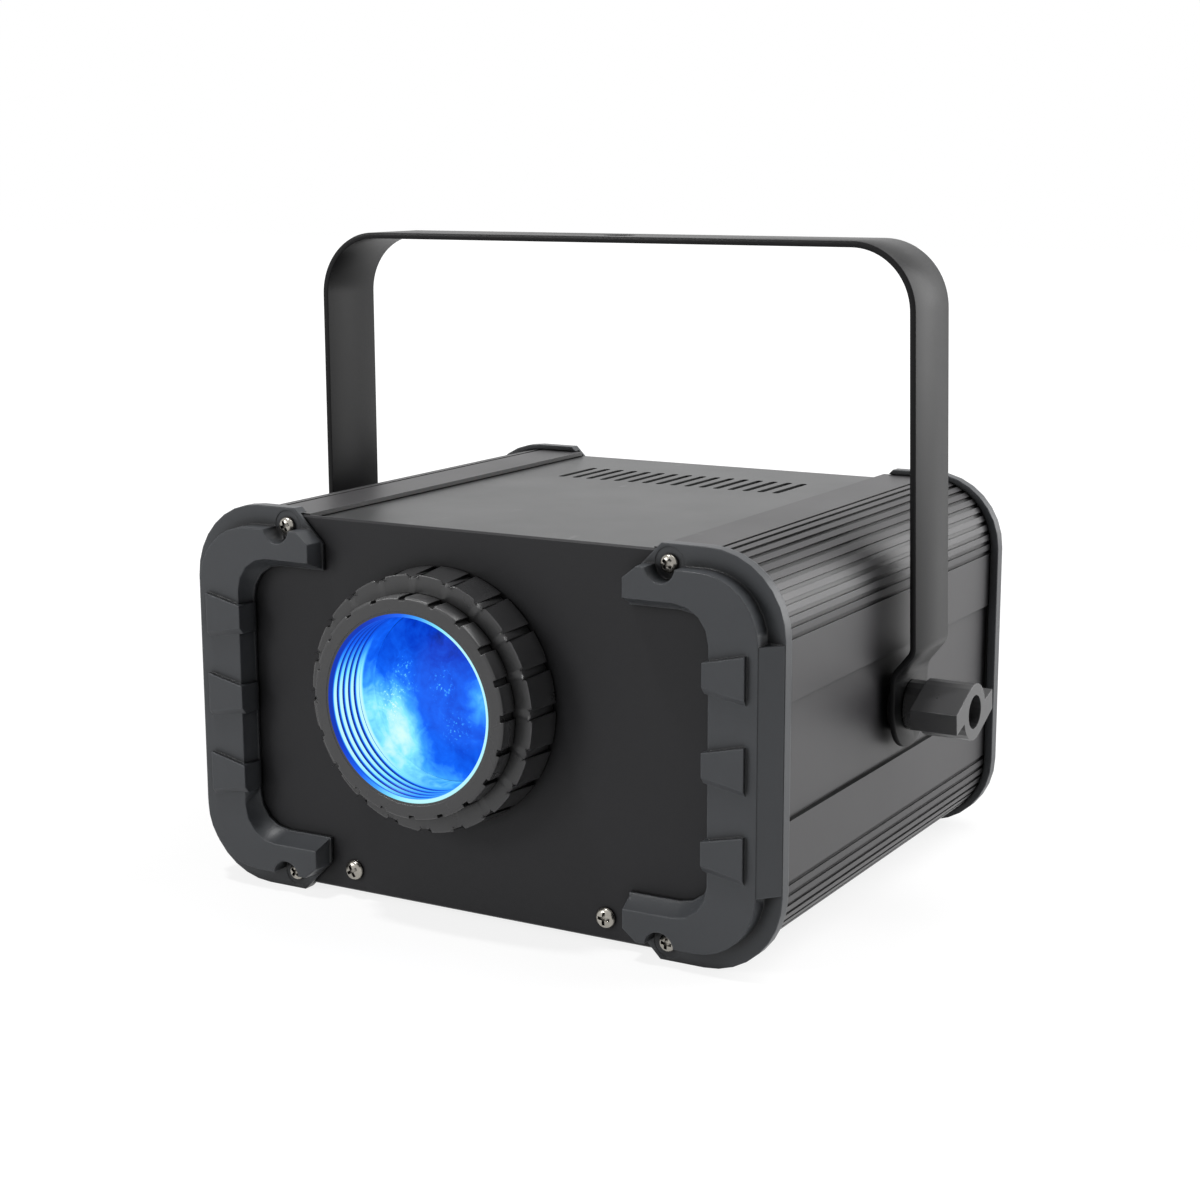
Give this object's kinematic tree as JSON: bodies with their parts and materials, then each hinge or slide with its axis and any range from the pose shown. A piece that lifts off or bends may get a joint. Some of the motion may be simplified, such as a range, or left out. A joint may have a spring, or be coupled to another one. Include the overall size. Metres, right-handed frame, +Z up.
{
  "type": "water wave effect light",
  "caption": "Stage effect projector in a ribbed aluminium housing with moulded corner guards, knurled focusing lens, rippling blue beam and a clamped hanging yoke.",
  "frame": {"origin": "centre of the object's box in X and Y, at the level of the surface its corner guards stand on", "axes": "+X to the right seen from the front, -Y out of the lens, +Z up"},
  "size_m": [0.3148, 0.2506, 0.2575],
  "materials": {
    "extrusion": "black anodised, satin",
    "painted_sheet": "satin powder coat",
    "painted_panel": "fine matt powder coat",
    "moulded_plastic": "fine moulded texture",
    "bright_steel": "zinc plated",
    "rubber": "matt",
    "brass": "turned",
    "black_plastic": "satin moulded",
    "bare_aluminium": "mill finish",
    "clear_glass": "clear",
    "motor_steel": "plated can",
    "circuit_board": "solder mask",
    "display": "smoked window",
    "painted_steel": "satin powder coat",
    "blue_glass": "lit blue",
    "filter_glass": "dichroic filters"
  },
  "bodies": {
    "housing": {"side_extrusion_left": "extrusion", "side_extrusion_right": "extrusion", "top_cover": "painted_sheet", "bottom_cover": "painted_sheet", "front_panel": "painted_panel", "rear_panel": "painted_panel", "front_bumper_left": "moulded_plastic", "front_bumper_right": "moulded_plastic", "rear_bumper_left": "moulded_plastic", "rear_bumper_right": "moulded_plastic", "bumper_screw_front_left_lower": "bright_steel", "bumper_screw_front_left_upper": "bright_steel", "bumper_screw_front_right_lower": "bright_steel", "bumper_screw_front_right_upper": "bright_steel", "bumper_screw_rear_left_lower": "bright_steel", "bumper_screw_rear_left_upper": "bright_steel", "bumper_screw_rear_right_lower": "bright_steel", "bumper_screw_rear_right_upper": "bright_steel", "panel_screw_left": "bright_steel", "panel_screw_right": "bright_steel", "pivot_washer_left": "rubber", "pivot_washer_right": "rubber", "pivot_insert_left": "brass", "pivot_insert_right": "brass", "lens_tube": "black_plastic", "front_bulkhead": "bare_aluminium", "rear_bulkhead": "bare_aluminium", "ripple_glass": "clear_glass", "glass_retainer": "black_plastic", "ripple_motor": "motor_steel", "colour_motor": "motor_steel", "condenser_holder": "bare_aluminium", "condenser_lens": "clear_glass", "led_module": "circuit_board", "heat_sink": "bare_aluminium", "heat_sink_bracket": "bare_aluminium", "power_supply": "bare_aluminium", "fan_frame": "black_plastic", "control_board": "circuit_board", "display_module": "display", "mains_inlet": "black_plastic", "signal_in_socket": "bright_steel", "signal_out_socket": "bright_steel", "safety_eye": "bright_steel"},
    "yoke": {"yoke": "painted_steel"},
    "clamp_knob_left": {"clamp_knob_left": "black_plastic"},
    "clamp_knob_right": {"clamp_knob_right": "black_plastic"},
    "focus_ring": {"focus_ring": "black_plastic"},
    "lens_cell": {"lens_cell": "black_plastic", "objective_lens": "blue_glass"},
    "ripple_wheel": {"ripple_wheel": "clear_glass"},
    "colour_wheel": {"colour_wheel": "filter_glass"},
    "fan_rotor": {"fan_rotor": "black_plastic"},
    "menu_button_1": {"menu_button_1": "rubber"},
    "menu_button_2": {"menu_button_2": "rubber"},
    "menu_button_3": {"menu_button_3": "rubber"},
    "menu_button_4": {"menu_button_4": "rubber"},
    "fuse_drawer": {"fuse_drawer": "black_plastic"},
    "socket_latch": {"socket_latch": "bright_steel"}
  },
  "joints": [
    {"name": "yoke_tilt", "type": "hinge", "parent": "housing", "child": "yoke", "pos_m": [0, 0.0128, 0.0775], "axis": [1, 0, 0], "range_deg": [-105, 105]},
    {"name": "clamp_knob_left_turn", "type": "hinge", "parent": "housing", "child": "clamp_knob_left", "pos_m": [-0.1314, 0.0128, 0.0775], "axis": [-1, 0, 0], "range_deg": [0, 180]},
    {"name": "clamp_knob_right_turn", "type": "hinge", "parent": "housing", "child": "clamp_knob_right", "pos_m": [0.1314, 0.0128, 0.0775], "axis": [1, 0, 0], "range_deg": [0, 180]},
    {"name": "focus_turn", "type": "hinge", "parent": "housing", "child": "focus_ring", "pos_m": [-0.0134, -0.1167, 0.0879], "axis": [0, -1, 0], "range_deg": [0, 270]},
    {"name": "focus_travel", "type": "slide", "parent": "housing", "child": "lens_cell", "axis": [0, -1, 0], "range_m": [0, 0.008]},
    {"name": "ripple_wheel_spin", "type": "hinge", "parent": "housing", "child": "ripple_wheel", "pos_m": [-0.0534, -0.0499, 0.0879], "axis": [0, 1, 0], "continuous": true},
    {"name": "colour_wheel_spin", "type": "hinge", "parent": "housing", "child": "colour_wheel", "pos_m": [0.0266, -0.0119, 0.0879], "axis": [0, 1, 0], "continuous": true},
    {"name": "fan_spin", "type": "hinge", "parent": "housing", "child": "fan_rotor", "pos_m": [-0.05, 0.0968, 0.08], "axis": [0, 1, 0], "continuous": true},
    {"name": "menu_button_1_press", "type": "slide", "parent": "housing", "child": "menu_button_1", "axis": [0, -1, 0], "range_m": [0, 0.0008], "stiffness_N_per_m": 1200, "springref_m": -0.0005},
    {"name": "menu_button_2_press", "type": "slide", "parent": "housing", "child": "menu_button_2", "axis": [0, -1, 0], "range_m": [0, 0.0008], "stiffness_N_per_m": 1200, "springref_m": -0.0005},
    {"name": "menu_button_3_press", "type": "slide", "parent": "housing", "child": "menu_button_3", "axis": [0, -1, 0], "range_m": [0, 0.0008], "stiffness_N_per_m": 1200, "springref_m": -0.0005},
    {"name": "menu_button_4_press", "type": "slide", "parent": "housing", "child": "menu_button_4", "axis": [0, -1, 0], "range_m": [0, 0.0008], "stiffness_N_per_m": 1200, "springref_m": -0.0005},
    {"name": "fuse_drawer_pull", "type": "slide", "parent": "housing", "child": "fuse_drawer", "axis": [0, 1, 0], "range_m": [0, 0.015]},
    {"name": "socket_latch_press", "type": "slide", "parent": "housing", "child": "socket_latch", "axis": [0, -1, 0], "range_m": [0, 0.0015], "stiffness_N_per_m": 800, "springref_m": -0.001}
  ],
  "couplings": [
    {"joint": "focus_travel", "follows": "focus_turn", "m_per_rad": 0.0016976}
  ]
}
